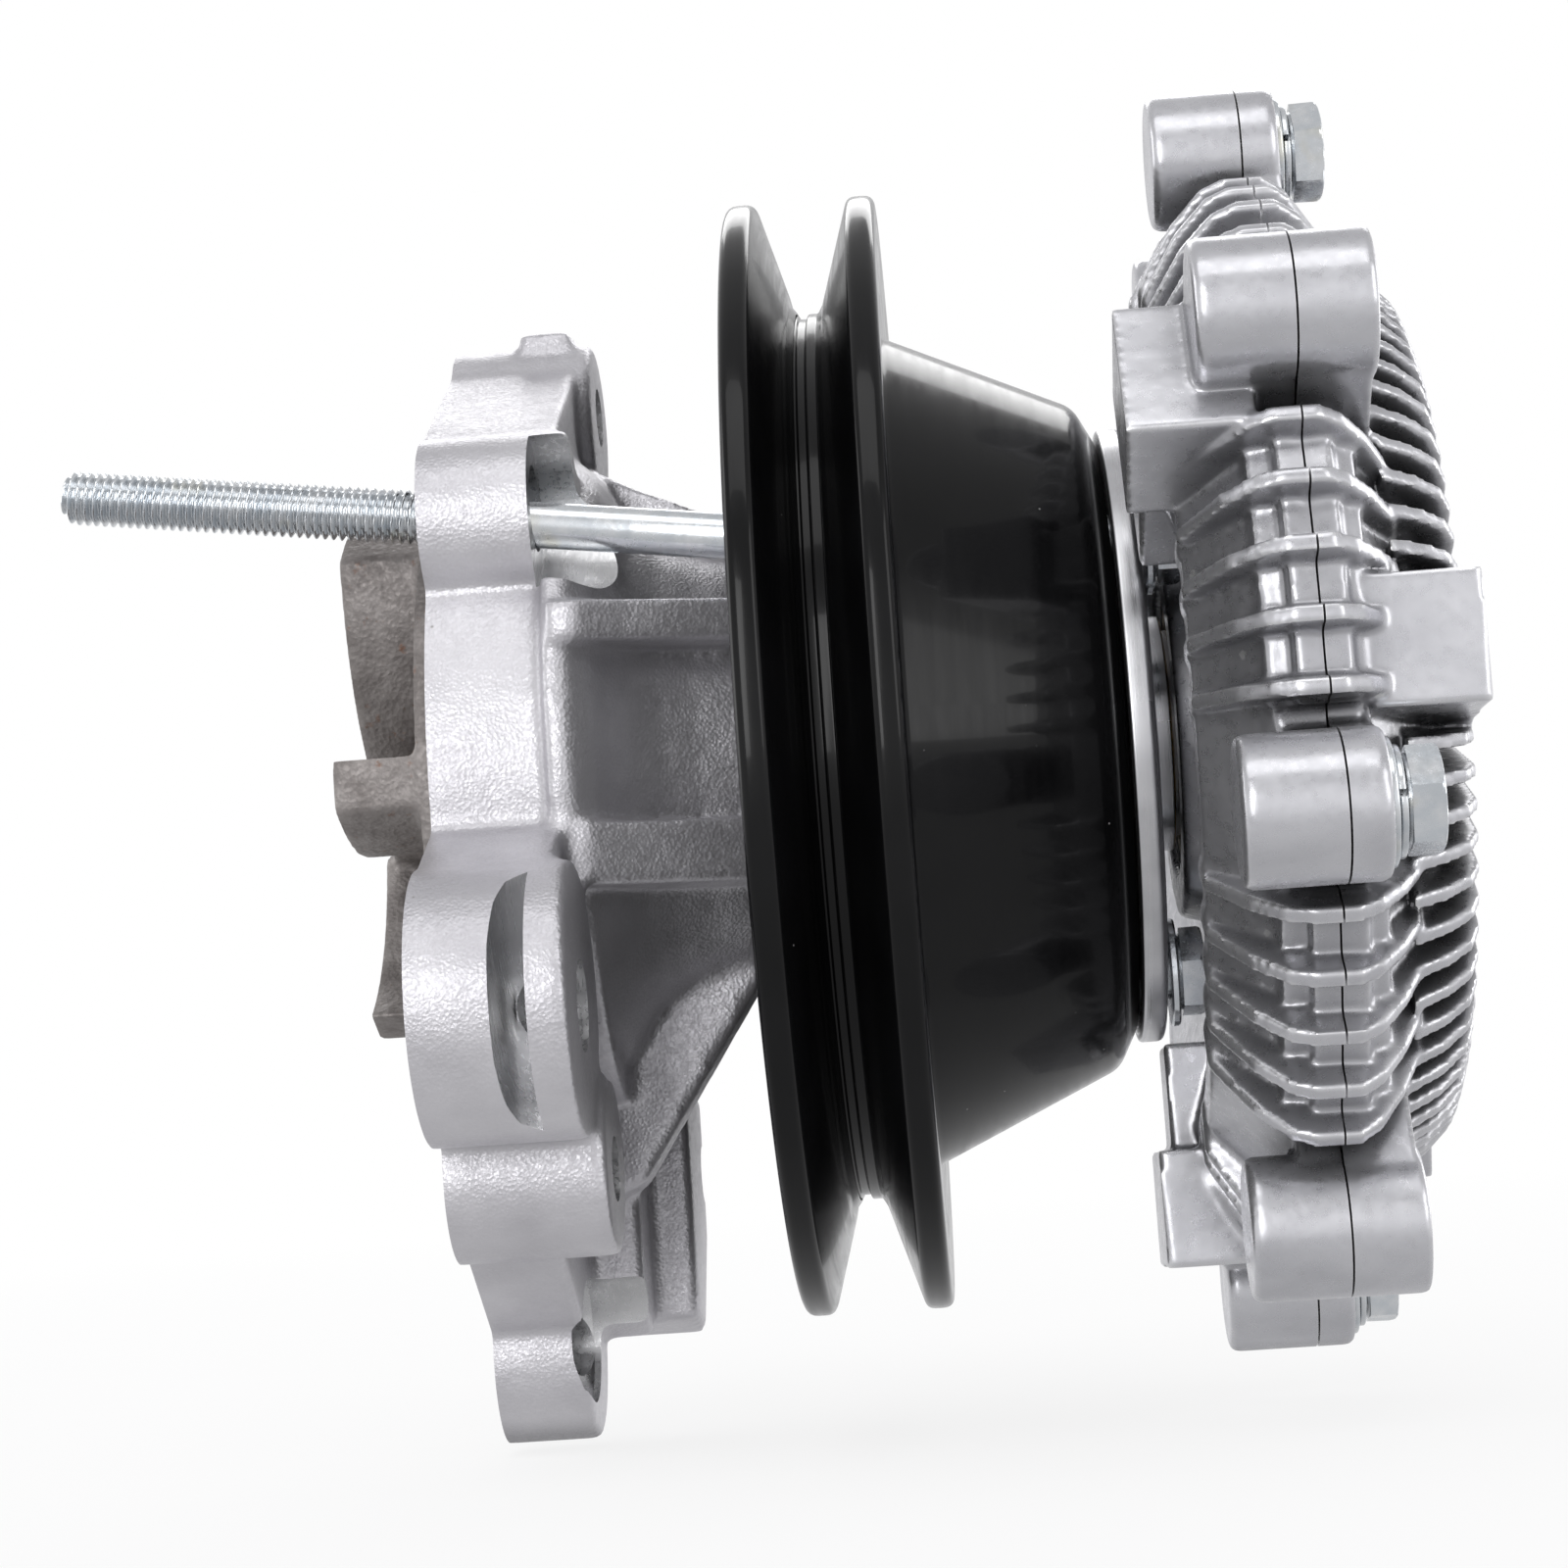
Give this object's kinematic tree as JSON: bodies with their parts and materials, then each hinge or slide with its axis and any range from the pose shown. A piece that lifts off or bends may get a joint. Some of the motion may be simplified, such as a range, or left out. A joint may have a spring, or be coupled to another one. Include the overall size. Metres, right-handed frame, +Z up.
{
  "type": "water pump",
  "caption": "Engine coolant pump with a single V-belt pulley and a finned viscous fan clutch on one shaft, and a loose through bolt in its flange.",
  "frame": {"origin": "on the mounting (gasket) face, 48.8 mm straight above the shaft's axis", "axes": "+X along the shaft from the impeller to the fan clutch, +Z up towards the flange's top lug, -Y towards the side the long bolt is on"},
  "size_m": [0.1983, 0.1862, 0.1942],
  "materials": {
    "cast_aluminium": "sand-cast, lightly blasted",
    "die_cast_aluminium": "bright die-cast, as ejected",
    "machined_aluminium": "turned",
    "cast_iron": "rough cast, browned",
    "bearing_steel": "ground",
    "polished_ball_steel": "polished",
    "brass_cage": "pressed sheet",
    "black_paint": "gloss black stove enamel",
    "zinc_plate": "bright zinc plate",
    "machined_steel": "turned",
    "stainless_sheet": "pressed sheet",
    "seal_rubber": "matt",
    "seal_carbon": "lapped carbon",
    "seal_ceramic": "lapped ceramic",
    "spring_steel": "drawn wire",
    "bimetal_strip": "rolled strip"
  },
  "bodies": {
    "housing": {"pump_body": "cast_aluminium", "bearing_sleeve": "bearing_steel", "bearing_shield_front": "seal_rubber", "bearing_shield_rear": "seal_rubber", "seal_cup": "stainless_sheet", "seal_bellows": "seal_rubber", "seal_spring": "spring_steel", "carbon_ring": "seal_carbon"},
    "long_bolt": {"long_bolt": "zinc_plate"},
    "bearing_cages": {"ball_cage_front": "brass_cage", "ball_cage_rear": "brass_cage", "bearing_ball_01": "polished_ball_steel", "bearing_ball_02": "polished_ball_steel", "bearing_ball_03": "polished_ball_steel", "bearing_ball_04": "polished_ball_steel", "bearing_ball_05": "polished_ball_steel", "bearing_ball_06": "polished_ball_steel", "bearing_ball_07": "polished_ball_steel", "bearing_ball_08": "polished_ball_steel", "bearing_ball_09": "polished_ball_steel", "bearing_ball_10": "polished_ball_steel", "bearing_ball_11": "polished_ball_steel", "bearing_ball_12": "polished_ball_steel"},
    "drive": {"pump_shaft": "bearing_steel", "impeller": "cast_iron", "ceramic_seat": "seal_ceramic", "seat_boot": "seal_rubber", "pulley_hub": "machined_steel", "pulley_bowl": "black_paint", "pulley_rear_flange": "black_paint", "clutch_shaft": "machined_aluminium", "flange_bolt_1": "zinc_plate", "flange_bolt_2": "zinc_plate", "flange_bolt_3": "zinc_plate", "clutch_rotor": "machined_aluminium", "clutch_bearing_inner": "bearing_steel"},
    "clutch_cage": {"clutch_ball_cage": "brass_cage", "clutch_ball_1": "polished_ball_steel", "clutch_ball_2": "polished_ball_steel", "clutch_ball_3": "polished_ball_steel", "clutch_ball_4": "polished_ball_steel", "clutch_ball_5": "polished_ball_steel", "clutch_ball_6": "polished_ball_steel", "clutch_ball_7": "polished_ball_steel"},
    "clutch_housing": {"clutch_rear_half": "die_cast_aluminium", "clutch_front_half": "die_cast_aluminium", "clutch_bearing_outer": "bearing_steel", "separator_plate": "stainless_sheet", "cover_o_ring": "seal_rubber", "housing_bolt_1": "zinc_plate", "housing_bolt_2": "zinc_plate", "housing_bolt_3": "zinc_plate", "housing_bolt_4": "zinc_plate", "housing_washer_1": "zinc_plate", "housing_washer_2": "zinc_plate", "housing_washer_3": "zinc_plate", "housing_washer_4": "zinc_plate"},
    "thermostat": {"bimetal_coil": "bimetal_strip", "bimetal_spindle": "machined_steel"}
  },
  "joints": [
    {"name": "shaft_spin", "type": "hinge", "parent": "housing", "child": "drive", "pos_m": [0, 0, -0.0488], "axis": [1, 0, 0], "continuous": true},
    {"name": "bearing_cage_spin", "type": "hinge", "parent": "housing", "child": "bearing_cages", "pos_m": [0.0445, 0, -0.0488], "axis": [1, 0, 0], "continuous": true},
    {"name": "long_bolt_slide", "type": "slide", "parent": "housing", "child": "long_bolt", "axis": [0.9907, 0, -0.1357], "range_m": [-0.042, 0.01], "stiffness_N_per_m": 40},
    {"name": "clutch_slip", "type": "hinge", "parent": "drive", "child": "clutch_housing", "pos_m": [0.113, 0, -0.0488], "axis": [1, 0, 0], "continuous": true},
    {"name": "clutch_cage_spin", "type": "hinge", "parent": "drive", "child": "clutch_cage", "pos_m": [0.113, 0, -0.0488], "axis": [1, 0, 0], "continuous": true},
    {"name": "thermostat_turn", "type": "hinge", "parent": "clutch_housing", "child": "thermostat", "pos_m": [0.142, 0, -0.0488], "axis": [1, 0, 0], "range_deg": [0, 30]}
  ],
  "couplings": [
    {"joint": "bearing_cage_spin", "follows": "shaft_spin", "ratio": 0.37},
    {"joint": "clutch_cage_spin", "follows": "clutch_slip", "ratio": 0.594}
  ]
}
